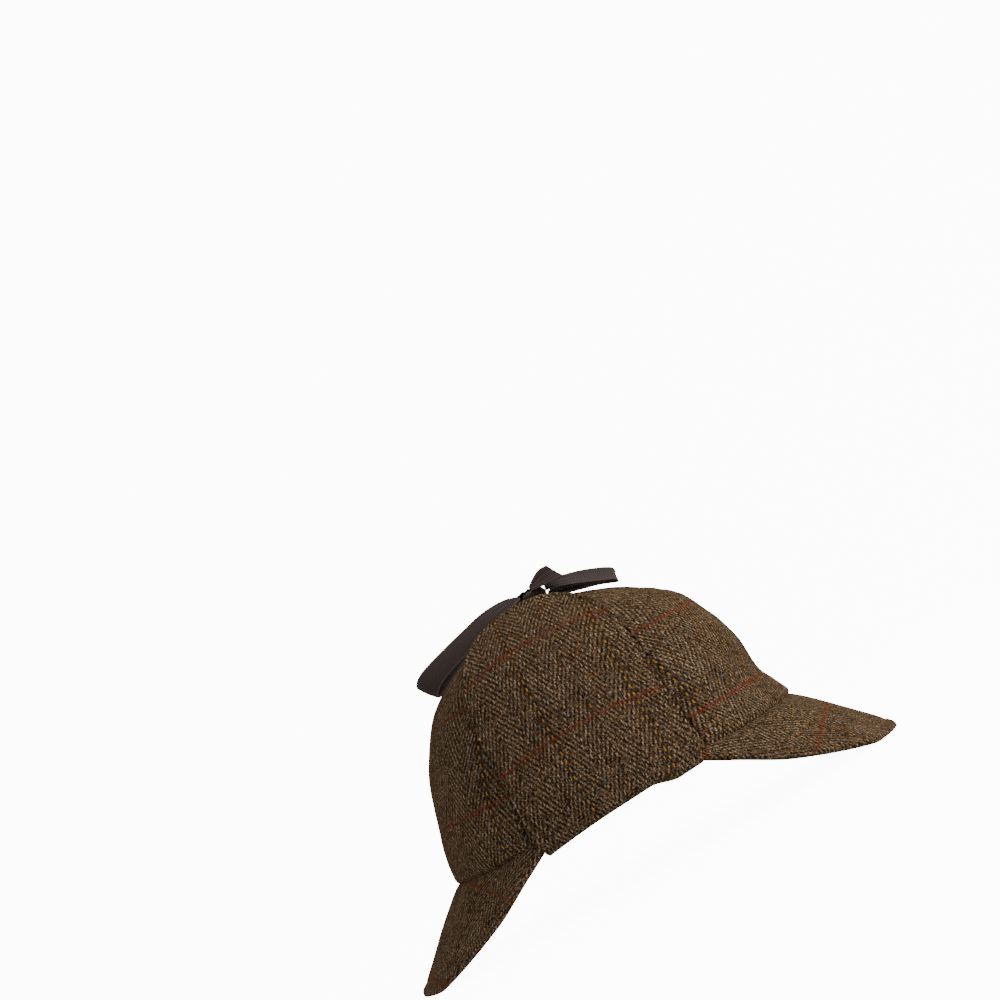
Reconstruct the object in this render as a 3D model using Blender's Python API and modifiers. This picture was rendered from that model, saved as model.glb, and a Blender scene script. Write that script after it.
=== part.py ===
"""A deerstalker hat of brown herringbone tweed, at its real size in metres, +Z up.

The hat rests as it would on a table, on the outer edges of its two peaks. The front is at +X and
the wearer's right side at -Y. The origin is on the table, under the middle of the crown.

Every cloth piece is an open grid, carried to its place by a function and thickened by Solidify.
The functions work in the hat's own frame, with z = 0 in the plane of the rim seam; an empty at
the middle of that plane lifts the whole hat to the height at which the peaks touch the table.
"""

import bisect
import collections
import math

import bmesh
import bpy
import numpy as np
from mathutils import Vector

# Crown: six panels sewn into a dome on an oval rim
CROWN_LENGTH = 0.208
CROWN_WIDTH = 0.172
CROWN_HEIGHT = 0.1105
HEM_HEIGHT = 0.0038
CROWN_CLOTH = 0.0025
PANEL_PUFF = 0.0024
PUFF_RISE = 20
APEX_RADIUS = 0.0030
SEAM_GAP = 0.0003
PIECE_GAP = 0.0003

# Peaks: two layers each, sewn under the crown's hem and sloping down to the table.
# PEAK_LIP is the share of the reach at which the middle of a peak has come down to the table.
PEAK_REACH = 0.043
PEAK_DROP = 0.0382
PEAK_CLOTH = 0.0017
PEAK_PRESS = 0.0002
PEAK_REACH_POWER = 1.1
PEAK_DROP_POWER = 0.78
PEAK_LIP = 0.93
PEAK_LIP_SPREAD = math.radians(13)
PEAK_LIP_FADE = math.radians(12)
PEAK_OVERDROP = 1.09

# Earflaps: tongues of doubled cloth, rolled under the rim and folded up over the crown.
# FLAP_TIP_SPACE is what lies open along the crown between a flap's tip and the crown's top.
# A flap's edges lie snug at the fold, stand off fully from the share FLAP_LOOSENS of its length,
# and the rear one closes in again by FLAP_CLOSES towards the tip.
FLAP_TIP_SPACE = 0.0205
FLAP_WIDTH = 0.096
FLAP_ROUND = 0.080
FLAP_CLOTH = 0.0030
FLAP_CLEARANCE = 0.0009
FLAP_REAR_STAND = 0.0045
FLAP_FRONT_STAND = 0.0012
FLAP_TOP_STAND = 0.0044
FLAP_SNUG = 0.3
FLAP_LOOSENS = 0.2
FLAP_CLOSES = 0.5
CORNER_HEIGHT = 0.04
CORNER_INSET = 0.06
FOLD_RADIUS = 0.0009
FOLD_SAG = 0.0029
FOLD_SAG_FADE = 1 / 6

# Ribbon: the ties that leave the flaps' tips and the bow they make on top of the crown
RIBBON_WIDTH = 0.018
RIBBON_CLOTH = 0.0010
KNOT_FORWARD = 0.010
KNOT_LENGTH = 0.014
KNOT_WIDTH = 0.016
KNOT_HEIGHT = 0.008
KNOT_ROUNDING = 0.0025
REAR_LOOP_LENGTH = 0.073
FRONT_LOOP_LENGTH = 0.037
FRONT_TAIL_LENGTH = 0.017
FAR_TAIL_LENGTH = 0.030
TIE_TUCK = 0.009

# The dome's radius at each angle above the hem, as shares of an ellipsoid's radius there
DomeRow = collections.namedtuple("DomeRow", "angle front side rear")
DOME = (
    DomeRow(0, 1.000, 1.000, 1.000),
    DomeRow(4, 0.968, 0.992, 0.993),
    DomeRow(9, 0.934, 0.980, 0.982),
    DomeRow(15, 0.944, 0.968, 0.970),
    DomeRow(21, 0.967, 0.970, 0.971),
    DomeRow(28, 0.987, 0.982, 0.981),
    DomeRow(36, 1.011, 1.000, 0.996),
    DomeRow(44, 1.050, 1.030, 1.020),
    DomeRow(51, 1.041, 1.048, 1.050),
    DomeRow(58, 1.010, 1.040, 1.062),
    DomeRow(66, 0.976, 1.010, 1.035),
    DomeRow(76, 0.970, 0.985, 0.995),
    DomeRow(90, 0.970, 0.970, 0.970),
)

# A ribbon's stations, in the order in which it leaves the knot and comes back to it.
# along is a share of the ribbon's named length, and side and width are shares of its width:
# side places the middle line and width is what the gathers leave. lift is a share of the knot's
# height, over the crown. lean and drop turn the ribbon: they are how far ahead of and below its
# far edge its near edge lies, as shares of the distance between the two.
Station = collections.namedtuple("Station", "along side lift lean drop width")
REAR_LOOP = (
    Station(0.00, -0.06, 0.90, 0.00, 0.12, 0.55),
    Station(0.12, -0.22, 1.20, 0.05, 0.42, 0.85),
    Station(0.30, -0.36, 1.26, 0.12, 0.58, 1.00),
    Station(0.50, -0.44, 1.30, 0.20, 0.62, 1.00),
    Station(0.70, -0.48, 1.38, 0.30, 0.64, 1.00),
    Station(0.88, -0.50, 1.52, 0.38, 0.62, 1.00),
    Station(0.965, -0.50, 1.50, 0.38, 0.57, 1.00),
    Station(1.00, -0.50, 1.29, 0.37, 0.52, 1.00),
    Station(0.968, -0.50, 1.01, 0.35, 0.47, 1.00),
    Station(0.90, -0.48, 0.77, 0.31, 0.41, 1.00),
    Station(0.74, -0.44, 0.62, 0.23, 0.31, 1.00),
    Station(0.50, -0.36, 0.49, 0.12, 0.20, 1.00),
    Station(0.22, -0.22, 0.41, 0.05, 0.10, 0.85),
    Station(0.00, -0.06, 0.34, 0.00, 0.04, 0.55),
)
FRONT_LOOP = (
    Station(0.00, -0.04, 0.90, 0.00, 0.00, 0.55),
    Station(0.25, -0.20, 1.00, 0.00, -0.14, 0.90),
    Station(0.55, -0.30, 1.14, -0.04, -0.20, 1.00),
    Station(0.82, -0.34, 1.32, -0.06, -0.20, 1.00),
    Station(0.97, -0.35, 1.30, -0.06, -0.10, 1.00),
    Station(1.00, -0.35, 1.03, -0.05, 0.03, 1.00),
    Station(0.95, -0.34, 0.76, -0.04, 0.14, 1.00),
    Station(0.70, -0.31, 0.60, 0.00, 0.16, 1.00),
    Station(0.38, -0.24, 0.48, 0.00, 0.12, 0.95),
    Station(0.14, -0.12, 0.40, 0.00, 0.06, 0.75),
    Station(0.00, -0.04, 0.34, 0.00, 0.02, 0.55),
)
FRONT_TAIL = (
    Station(0.00, -0.06, 1.42, 0.05, 0.25, 0.60),
    Station(0.35, -0.16, 1.58, 0.18, 0.42, 0.85),
    Station(0.70, -0.24, 1.76, 0.28, 0.54, 1.00),
    Station(1.00, -0.28, 1.87, 0.33, 0.56, 1.00),
)

# A tie's stations from under the flap's tip to the knot. Its height over the crown is a share of
# the space under the flap plus a share of the height of the knot's middle.
TieRow = collections.namedtuple("TieRow", "share under_flap at_knot width")
TIE = (
    TieRow(0.0, 0.500, 0.00, 1.00),
    TieRow(0.3, 0.575, 0.00, 1.00),
    TieRow(0.7, 0.000, 0.85, 0.80),
    TieRow(1.0, 0.000, 1.00, 0.55),
)

# The far tail's stations: two on the knot's top, with the places back and to the side as shares of
# the knot, and the rest on the left flap, as shares of the tail's length and the flap's half width
KnotRow = collections.namedtuple("KnotRow", "back aside width")
OFF_KNOT = (KnotRow(0.10, 0.10, 0.6), KnotRow(0.15, 0.55, 0.8))
FlapRow = collections.namedtuple("FlapRow", "share across width")
ON_FLAP = (
    FlapRow(0.1, 0.075, 1.0),
    FlapRow(0.4, 0.000, 1.0),
    FlapRow(0.7, -0.075, 1.0),
    FlapRow(1.0, -0.150, 1.0),
)

TWEED_COLOUR = (0.105, 0.069, 0.038, 1.0)
PEAK_COLOUR = (0.112, 0.074, 0.042, 1.0)
RIBBON_COLOUR = (0.036, 0.021, 0.018, 1.0)
CLOTH_ROUGHNESS = 0.92
RIBBON_ROUGHNESS = 0.62

HALF_LENGTH = CROWN_LENGTH / 2
HALF_WIDTH = CROWN_WIDTH / 2
DOME_HEIGHT = CROWN_HEIGHT - HEM_HEIGHT
PANEL_ANGLE = math.radians(60)
PEAK_SPREAD = math.acos(FLAP_WIDTH / 2 / HALF_LENGTH)
RIM_HEIGHT = PIECE_GAP + 2 * PEAK_CLOTH + PIECE_GAP + PEAK_DROP - PEAK_PRESS


def smooth_curve(keys, rows):
    """A function that reads the smooth curve through a table's rows at any key."""
    slopes = np.gradient(rows, keys, axis=0)

    def read(at):
        at = min(max(at, keys[0]), keys[-1])
        index = min(bisect.bisect_right(keys, at) - 1, len(keys) - 2)
        step = keys[index + 1] - keys[index]
        t = (at - keys[index]) / step
        start, end = rows[index], rows[index + 1]
        start_slope, end_slope = slopes[index] * step, slopes[index + 1] * step
        return (
            (2 * t**3 - 3 * t**2 + 1) * start
            + (t**3 - 2 * t**2 + t) * start_slope
            + (3 * t**2 - 2 * t**3) * end
            + (t**3 - t**2) * end_slope
        )

    return read


def ease(t):
    """0 below 0, 1 above 1 and smooth between."""
    t = min(max(t, 0.0), 1.0)
    return t * t * (3 - 2 * t)


dome_at = smooth_curve([row.angle for row in DOME], np.array([row[1:] for row in DOME]))


def crown_share(around, rise):
    """The dome's radius at an angle around the oval and a rise in degrees above the hem."""
    front, side, rear = dome_at(rise)
    forward = math.cos(around)
    fullness = (front if forward > 0 else rear) * forward**2 + side * (1 - forward**2)
    puff = PANEL_PUFF / HALF_LENGTH * abs(math.sin(3 * around)) * ease(rise / PUFF_RISE)
    return (fullness + puff) * math.cos(math.radians(rise))


def rise_at(height):
    """The rise in degrees of a height above the rim; the hem below it is upright."""
    return math.degrees(math.asin(min(max((height - HEM_HEIGHT) / DOME_HEIGHT, 0.0), 1.0)))


def crown_point(around, rise):
    """A point of the crown's outer face. A rise under 0 runs down the upright hem to the rim."""
    share = crown_share(around, max(rise, 0.0))
    if rise < 0:
        height = HEM_HEIGHT * (1 + rise)
    else:
        height = HEM_HEIGHT + DOME_HEIGHT * math.sin(math.radians(rise))
    return Vector(
        (HALF_LENGTH * share * math.cos(around), HALF_WIDTH * share * math.sin(around), height)
    )


def crown_hit(start, direction):
    """Where a ray from inside the crown meets its outer face."""
    near, far = 0.0, CROWN_LENGTH
    for _ in range(32):
        middle = (near + far) / 2
        point = start + direction * middle
        x, y = point.x / HALF_LENGTH, point.y / HALF_WIDTH
        inside = point.z < CROWN_HEIGHT and math.hypot(x, y) < crown_share(
            math.atan2(y, x), rise_at(point.z)
        )
        near, far = (middle, far) if inside else (near, middle)
    return start + direction * near


def crown_top(x, y):
    """The height of the crown's outer face over a point of the rim plane."""
    return crown_hit(Vector((x, y, 0.0)), Vector((0.0, 0.0, 1.0))).z


def cloth(name, across, along, place, thickness, offset, material, even=True):
    """A cloth piece: a grid with one column for each value across and one row for each along."""
    mesh = bpy.data.meshes.new(name)
    grid = bmesh.new()
    bmesh.ops.create_grid(
        grid, x_segments=len(across) - 1, y_segments=len(along) - 1, size=0.5
    )
    for vert in grid.verts:
        column = round((vert.co.x + 0.5) * (len(across) - 1))
        row = round((vert.co.y + 0.5) * (len(along) - 1))
        vert.co = place(across[column], along[row])
    grid.to_mesh(mesh)
    grid.free()
    mesh.shade_smooth()
    mesh.materials.append(material)
    piece = bpy.data.objects.new(name, mesh)
    solidify = piece.modifiers.new("cloth", "SOLIDIFY")
    solidify.thickness = thickness
    solidify.offset = offset
    solidify.use_even_offset = even
    return piece


PANEL_ACROSS = (0, 0.06, 0.19, 0.34, 0.50, 0.66, 0.81, 0.94, 1)
PANEL_RISES = (-1, 0, 5, 10, 16, 23, 31, 39, 47, 56, 66, 76)


def crown_panel(name, start, material):
    """One gore of the crown, from its hem to the apex, between two seams."""
    apex_rise = math.degrees(math.acos(APEX_RADIUS / HALF_LENGTH))

    def place(share, rise):
        radius = crown_share(start, max(rise, 0.0)) * HALF_WIDTH
        margin = SEAM_GAP / 2 / radius
        around = start + margin + share * (PANEL_ANGLE - 2 * margin)
        return crown_point(around, rise)

    rises = PANEL_RISES + (apex_rise,)
    return cloth(name, PANEL_ACROSS, rises, place, CROWN_CLOTH, -1.0, material)


PEAK_ACROSS = np.linspace(-0.968, 0.968, 23)
PEAK_ALONG = (-1, 0, 0.15, 0.32, 0.49, 0.66, 0.81, PEAK_LIP, 1)


def peak_point(facing, across, along):
    """A point midway between a peak's two layers. An along under 0 lies under the crown's hem."""
    around = across * PEAK_SPREAD
    rim = Vector((HALF_LENGTH * math.cos(around), HALF_WIDTH * math.sin(around), 0.0))
    outward = Vector((HALF_WIDTH * math.cos(around), HALF_LENGTH * math.sin(around), 0.0))
    outward.normalize()
    rounding = 1 - across**2
    reach = PEAK_REACH * rounding**PEAK_REACH_POWER
    drop = min(PEAK_DROP, PEAK_DROP * PEAK_OVERDROP * rounding**PEAK_DROP_POWER)
    lip = PEAK_LIP + (1 - PEAK_LIP) * ease((abs(around) - PEAK_LIP_SPREAD) / PEAK_LIP_FADE)
    seam = -(PIECE_GAP + PEAK_CLOTH + PIECE_GAP / 2)
    if along < 0:
        point = rim + outward * CROWN_CLOTH * along
        fall = 0.0
    else:
        point = rim + outward * reach * along
        fall = drop * min(1.0, along / lip)
    return Vector((point.x * facing, point.y * facing, seam - fall))


def table_cutter():
    """The table under the hat, as a block whose top is at z = 0."""
    length = 3 * CROWN_LENGTH
    mesh = bpy.data.meshes.new("table")
    block = bmesh.new()
    bmesh.ops.create_cube(block, size=length)
    block.to_mesh(mesh)
    block.free()
    table = bpy.data.objects.new("table", mesh)
    table.location = (0.0, 0.0, -length / 2)
    table.hide_render = True
    table.display_type = "WIRE"
    return table


def press_on(piece, table):
    """Flattens a piece where it rests on the table."""
    press = piece.modifiers.new("rest", "BOOLEAN")
    press.operation = "DIFFERENCE"
    press.solver = "EXACT"
    press.object = table


def peak_layer(name, facing, layer, material):
    """A peak's upper (layer 1) or under (layer -1) cloth, half a gap off the middle surface."""
    offset = layer * (1 + PIECE_GAP / PEAK_CLOTH)

    def place(across, along):
        return peak_point(facing, across, along)

    across = PEAK_ACROSS[::-1]
    return cloth(name, across, PEAK_ALONG, place, PEAK_CLOTH, offset, material, even=False)


def middle_line():
    """The ray angles over the crown's side and the distance along the cloth to each."""
    angles = np.radians(np.linspace(0, 90, 91))
    points = [
        crown_hit(Vector((0, 0, 0)), Vector((0, math.cos(a), math.sin(a)))) for a in angles
    ]
    steps = [(b - a).length for a, b in zip(points, points[1:])]
    return angles, np.concatenate(([0.0], np.cumsum(steps)))


MIDDLE_ANGLES, MIDDLE_LENGTHS = middle_line()
FLAP_LENGTH = MIDDLE_LENGTHS[-1] - FLAP_TIP_SPACE


def flap_lift(across, distance):
    """How far a flap's inner face stands off the crown."""
    up = distance / FLAP_LENGTH
    loose = FLAP_SNUG + (1 - FLAP_SNUG) * ease(up / FLAP_LOOSENS)
    rear = FLAP_REAR_STAND * max(-across, 0.0) ** 2 * loose * (1 - FLAP_CLOSES * up)
    front = FLAP_FRONT_STAND * max(across, 0.0) ** 2 * loose
    return FLAP_CLEARANCE + rear + front + FLAP_TOP_STAND * up**3


def flap_point(side, across, distance):
    """A flap's inner face at a distance along its middle line above the fold."""
    rounded = FLAP_LENGTH * CORNER_HEIGHT
    corner = 1 - CORNER_INSET * (1 - min(distance / rounded, 1.0)) ** 2
    x = across * FLAP_WIDTH / 2 * corner
    angle = float(np.interp(distance, MIDDLE_LENGTHS, MIDDLE_ANGLES))
    direction = Vector((0.0, side * math.cos(angle), math.sin(angle)))
    point = crown_hit(Vector((x, 0.0, 0.0)), direction)
    point += direction * flap_lift(across, distance)
    point.z -= FOLD_SAG * across**2 * (1 - ease(distance / (FLAP_LENGTH * FOLD_SAG_FADE)))
    return point


FLAP_ACROSS = np.sin(np.radians(np.linspace(-90, 90, 17)) * 0.985)
FOLD_TURNS = (-150, -120, -90, -60, -30)
FLAP_ALONG = np.concatenate((FOLD_TURNS, np.linspace(0, 1, 16)))


def flap(name, side, material):
    """An earflap: rolled from under the rim, then up over the crown to a round end."""

    def place(across, along):
        top = FLAP_LENGTH - FLAP_ROUND + FLAP_ROUND * math.sqrt(1 - across**2)
        if along >= 0:
            return flap_point(side, across, along * top)
        point = flap_point(side, across, 0.0)
        turn = math.radians(along)
        point.y += side * FOLD_RADIUS * (math.cos(turn) - 1)
        point.z += FOLD_RADIUS * math.sin(turn)
        return point

    across = FLAP_ACROSS if side < 0 else FLAP_ACROSS[::-1]
    return cloth(name, across, FLAP_ALONG, place, FLAP_CLOTH, 1.0, material)


FLAT_RIBBON = (-0.5, 0, 0.5)
TURNED_RIBBON = (-0.5, -0.17, 0.17, 0.5)
STEPS_BETWEEN = 3
STEPS_IN_TURNS = 5


def ribbon(name, middles, edges, columns, steps, material):
    """A ribbon through stations, each a middle point and the vector from edge to edge."""
    stations = np.array([(*middle, *edge) for middle, edge in zip(middles, edges)])
    last = len(stations) - 1
    station_at = smooth_curve(range(last + 1), stations)

    def place(across, along):
        row = station_at(along)
        return Vector(row[:3] + across * row[3:])

    along = np.linspace(0, last, steps * last + 1)
    return cloth(name, columns, along, place, RIBBON_CLOTH, 0.0, material, even=False)


def bow_ribbon(name, table, start, length, material):
    """A loop or tail of the bow, running from the knot forwards, or back with a length under 0."""
    middles, edges = [], []
    for row in table:
        x = start + row.along * length
        y = row.side * RIBBON_WIDTH
        middles.append(Vector((x, y, crown_top(x, y) + row.lift * KNOT_HEIGHT)))
        level = math.sqrt(1 - row.lean**2 - row.drop**2)
        edges.append(Vector((row.lean, -level, -row.drop)) * RIBBON_WIDTH * row.width)
    turns = len(table) > len(FRONT_TAIL)
    columns = TURNED_RIBBON if turns else FLAT_RIBBON
    steps = STEPS_IN_TURNS if turns else STEPS_BETWEEN
    return ribbon(name, middles, edges, columns, steps, material)


def tie(name, side, material):
    """The ribbon sewn under a flap's tip, on its way to the knot."""
    tip = flap_point(side, 0.0, FLAP_LENGTH - TIE_TUCK)
    knot_side = side * (KNOT_WIDTH / 2 + PIECE_GAP)
    under_flap = flap_lift(0.0, FLAP_LENGTH - TIE_TUCK)
    knot_middle = PIECE_GAP + KNOT_HEIGHT / 2
    middles, edges = [], []
    for row in TIE:
        x = tip.x + (KNOT_FORWARD - tip.x) * row.share
        y = tip.y + (knot_side - tip.y) * row.share
        lift = under_flap * row.under_flap + knot_middle * row.at_knot
        middles.append(Vector((x, y, crown_top(x, y) + lift)))
        edges.append(Vector((RIBBON_WIDTH * row.width, 0.0, 0.0)))
    return ribbon(name, middles, edges, FLAT_RIBBON, STEPS_BETWEEN, material)


def over_flap(side, across, distance):
    """The middle of a ribbon that lies on a flap's outer face."""
    angle = float(np.interp(distance, MIDDLE_LENGTHS, MIDDLE_ANGLES))
    outward = Vector((0.0, side * math.cos(angle), math.sin(angle)))
    height = FLAP_CLOTH + 2 * PIECE_GAP + RIBBON_CLOTH / 2
    return flap_point(side, across, distance) + outward * height


def far_tail(name, material):
    """The tail on the far side: off the knot's top and down over the left flap's tip."""
    knot_top = CROWN_HEIGHT + PIECE_GAP + KNOT_HEIGHT
    above_knot = knot_top + 2 * PIECE_GAP + RIBBON_CLOTH / 2
    middles = []
    for row in OFF_KNOT:
        x, y = KNOT_FORWARD - row.back * KNOT_LENGTH, row.aside * KNOT_WIDTH
        middles.append(Vector((x, y, above_knot)))
    for row in ON_FLAP:
        middles.append(over_flap(1, row.across, FLAP_LENGTH - row.share * FAR_TAIL_LENGTH))
    edges = [Vector((RIBBON_WIDTH * row.width, 0.0, 0.0)) for row in OFF_KNOT + ON_FLAP]
    return ribbon(name, middles, edges, FLAT_RIBBON, STEPS_BETWEEN, material)


def bow_knot(name, material):
    """The knot: a rounded block of gathered ribbon that sits on the crown's top."""
    mesh = bpy.data.meshes.new(name)
    block = bmesh.new()
    bmesh.ops.create_cube(block, size=1.0)
    bmesh.ops.scale(block, vec=(KNOT_LENGTH, KNOT_WIDTH, KNOT_HEIGHT), verts=block.verts)
    block.to_mesh(mesh)
    block.free()
    mesh.shade_smooth()
    mesh.materials.append(material)
    knot = bpy.data.objects.new(name, mesh)
    knot.location = (KNOT_FORWARD, 0.0, CROWN_HEIGHT + PIECE_GAP + KNOT_HEIGHT / 2)
    bevel = knot.modifiers.new("rounding", "BEVEL")
    bevel.width = KNOT_ROUNDING
    bevel.segments = 3
    return knot


def cloth_material(name, colour, roughness):
    material = bpy.data.materials.new(name)
    material.use_nodes = True
    shader = material.node_tree.nodes["Principled BSDF"]
    shader.inputs["Base Color"].default_value = colour
    shader.inputs["Roughness"].default_value = roughness
    shader.inputs["Metallic"].default_value = 0.0
    return material


def main():
    for old in list(bpy.data.objects):
        bpy.data.objects.remove(old)
    collection = bpy.data.collections.new("deerstalker_hat")
    bpy.context.scene.collection.children.link(collection)
    cutters = bpy.data.collections.new("cutters")
    bpy.context.scene.collection.children.link(cutters)
    table = table_cutter()
    cutters.objects.link(table)
    rim = bpy.data.objects.new("rim_centre", None)
    rim.location = (0.0, 0.0, RIM_HEIGHT)
    collection.objects.link(rim)

    tweed = cloth_material("crown_tweed", TWEED_COLOUR, CLOTH_ROUGHNESS)
    flap_tweed = cloth_material("flap_tweed", TWEED_COLOUR, CLOTH_ROUGHNESS)
    peak_tweed = cloth_material("peak_tweed", PEAK_COLOUR, CLOTH_ROUGHNESS)
    grosgrain = cloth_material("bow_ribbon", RIBBON_COLOUR, RIBBON_ROUGHNESS)

    pieces = []
    panels = ("front_left", "side_left", "rear_left", "rear_right", "side_right", "front_right")
    for index, panel in enumerate(panels):
        pieces.append(crown_panel("crown_" + panel, index * PANEL_ANGLE, tweed))
    for end, facing in (("front", 1), ("rear", -1)):
        pieces.append(peak_layer(f"peak_{end}_upper", facing, 1, peak_tweed))
        under = peak_layer(f"peak_{end}_under", facing, -1, peak_tweed)
        press_on(under, table)
        pieces.append(under)
    for hand, side in (("right", -1), ("left", 1)):
        pieces.append(flap("earflap_" + hand, side, flap_tweed))
        pieces.append(tie("tie_" + hand, side, grosgrain))

    knot_rear = KNOT_FORWARD - KNOT_LENGTH / 2 - PIECE_GAP
    knot_front = KNOT_FORWARD + KNOT_LENGTH / 2 + PIECE_GAP
    pieces.append(bow_knot("bow_knot", grosgrain))
    pieces.append(
        bow_ribbon("bow_loop_rear", REAR_LOOP, knot_rear, -REAR_LOOP_LENGTH, grosgrain)
    )
    pieces.append(
        bow_ribbon("bow_loop_front", FRONT_LOOP, knot_front, FRONT_LOOP_LENGTH, grosgrain)
    )
    pieces.append(
        bow_ribbon("bow_tail_front", FRONT_TAIL, KNOT_FORWARD, FRONT_TAIL_LENGTH, grosgrain)
    )
    pieces.append(far_tail("bow_tail_far", grosgrain))

    for piece in pieces:
        collection.objects.link(piece)
        piece.parent = rim


main()
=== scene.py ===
# %% [markdown]
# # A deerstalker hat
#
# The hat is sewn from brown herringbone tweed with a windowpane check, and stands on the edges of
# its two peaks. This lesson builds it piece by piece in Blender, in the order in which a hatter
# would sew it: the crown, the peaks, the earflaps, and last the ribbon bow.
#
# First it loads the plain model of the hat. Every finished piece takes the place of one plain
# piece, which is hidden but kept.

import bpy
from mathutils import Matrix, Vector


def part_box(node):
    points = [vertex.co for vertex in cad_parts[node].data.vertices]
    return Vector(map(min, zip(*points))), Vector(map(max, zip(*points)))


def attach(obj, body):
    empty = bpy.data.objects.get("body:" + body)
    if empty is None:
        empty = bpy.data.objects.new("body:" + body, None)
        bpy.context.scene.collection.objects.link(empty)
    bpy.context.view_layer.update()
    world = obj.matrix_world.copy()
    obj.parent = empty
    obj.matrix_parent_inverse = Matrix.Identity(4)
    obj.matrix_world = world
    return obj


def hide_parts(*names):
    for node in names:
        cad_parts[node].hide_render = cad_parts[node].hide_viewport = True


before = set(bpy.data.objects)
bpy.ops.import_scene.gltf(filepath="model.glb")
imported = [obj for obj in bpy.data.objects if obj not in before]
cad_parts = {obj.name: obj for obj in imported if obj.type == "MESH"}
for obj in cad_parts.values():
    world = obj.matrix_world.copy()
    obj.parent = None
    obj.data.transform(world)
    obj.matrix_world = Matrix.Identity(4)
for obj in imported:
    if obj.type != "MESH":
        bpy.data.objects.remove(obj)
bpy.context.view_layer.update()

# %% [markdown]
# ## The hat's own sizes
#
# The crown's length, width and height come from the boxes of the plain pieces, so that nothing has
# to be fitted afterwards. The front is at +X and the wearer's right side at -Y. The heights in the
# functions below start from the rim, the plane in which the crown meets the peaks.

# %% Read the sizes
import collections
import math

import bmesh
import bpy
import numpy as np
from mathutils import Matrix, Vector

RIM_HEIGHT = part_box("crown_front_right")[0][2]
HALF_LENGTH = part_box("crown_front_right")[1][0]
HALF_WIDTH = -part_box("crown_side_right")[0][1]
CROWN_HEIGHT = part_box("crown_side_right")[1][2] - RIM_HEIGHT
PIECE_GAP = 0.0003
HEM_HEIGHT = 0.0038
DOME_HEIGHT = CROWN_HEIGHT - HEM_HEIGHT
print(f"crown {2 * HALF_LENGTH:.4f} x {2 * HALF_WIDTH:.4f} x {CROWN_HEIGHT:.4f} m")

# %% [markdown]
# ## The camera
#
# The photograph was taken from the wearer's right, level with the crown and turned by 30 degrees,
# so that the hat's front points up. The camera stands 1.3 m away, its axis passes over the hat, and
# its own roll makes that turn, which leaves the hat resting level on the floor.

# %% Camera
CAMERA_AWAY = 1.30
CAMERA_AZIMUTH = math.radians(3)
CAMERA_LEVEL = 0.110
CAMERA_NEAREST = 0.05
AIM = Vector((0.020, 0.0, 0.212))
ROLL = math.radians(30)
SEEN_WIDTH = 0.546

lens = bpy.data.cameras.new("camera")
lens.lens = lens.sensor_width * CAMERA_AWAY / SEEN_WIDTH
lens.clip_start = CAMERA_NEAREST
camera = bpy.data.objects.new("camera", lens)
bpy.context.scene.collection.objects.link(camera)
position = Vector(
    (math.sin(CAMERA_AZIMUTH) * CAMERA_AWAY, -math.cos(CAMERA_AZIMUTH) * CAMERA_AWAY, CAMERA_LEVEL)
)
forward = (AIM - position).normalized()
level_right = forward.cross(Vector((0, 0, 1))).normalized()
level_up = level_right.cross(forward)
right = level_right * math.cos(ROLL) - level_up * math.sin(ROLL)
up = level_right * math.sin(ROLL) + level_up * math.cos(ROLL)
turned = Matrix((right, up, -forward)).transposed().to_4x4()
camera.matrix_world = Matrix.Translation(position) @ turned
bpy.context.scene.camera = camera
print("camera lens:", round(lens.lens, 1), "mm")

# %% [markdown]
# ## Floor, backdrop and light
#
# The photograph has soft light, hardly any hard shadow and an even ground that is nearly white. A
# floor that curves up into a wall gives that ground. It glows by itself, and it is hidden from the
# rays that cloth scatters and reflects, because its light would reach the hat from everywhere and
# make the cloth look flat. Two things light the hat instead: a pale sky that fills the shadows, and
# a large lamp before the front peak that brings out the folds. A weak one helps from the side.

# %% Stage and lights
FLOOR_WIDTH, FLOOR_FRONT, FLOOR_BACK = 24.0, -12.0, 2.2
WALL_CURVE, WALL_TOP, CURVE_STEPS = 1.4, 5.0, 16
SKY_COLOUR, SKY_STRENGTH = (1.0, 0.985, 0.965, 1.0), 1.3
LAMPS_AIM = Vector((0.0, 0.0, 0.09))


def backdrop_profile():
    """The floor's and wall's outline from front to back, as (y, z)."""
    points = [(FLOOR_FRONT, 0.0), (FLOOR_BACK - WALL_CURVE, 0.0)]
    for step in range(1, CURVE_STEPS):
        turn = math.pi / 2 * step / CURVE_STEPS
        y = FLOOR_BACK - WALL_CURVE + WALL_CURVE * math.sin(turn)
        points.append((y, WALL_CURVE * (1 - math.cos(turn))))
    return points + [(FLOOR_BACK, WALL_CURVE), (FLOOR_BACK, WALL_TOP)]


profile = backdrop_profile()
corners = [(x, y, z) for y, z in profile for x in (-FLOOR_WIDTH / 2, FLOOR_WIDTH / 2)]
strips = [(2 * i, 2 * i + 1, 2 * i + 3, 2 * i + 2) for i in range(len(profile) - 1)]
floor_mesh = bpy.data.meshes.new("floor")
floor_mesh.from_pydata(corners, [], strips)
floor_mesh.shade_smooth()
floor = bpy.data.objects.new("floor", floor_mesh)
bpy.context.scene.collection.objects.link(floor)
floor.visible_diffuse = False
floor.visible_glossy = False

world = bpy.data.worlds.new("pale_room")
world.use_nodes = True
sky = world.node_tree.nodes["Background"]
sky.inputs["Color"].default_value = SKY_COLOUR
sky.inputs["Strength"].default_value = SKY_STRENGTH
bpy.context.scene.world = world

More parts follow.
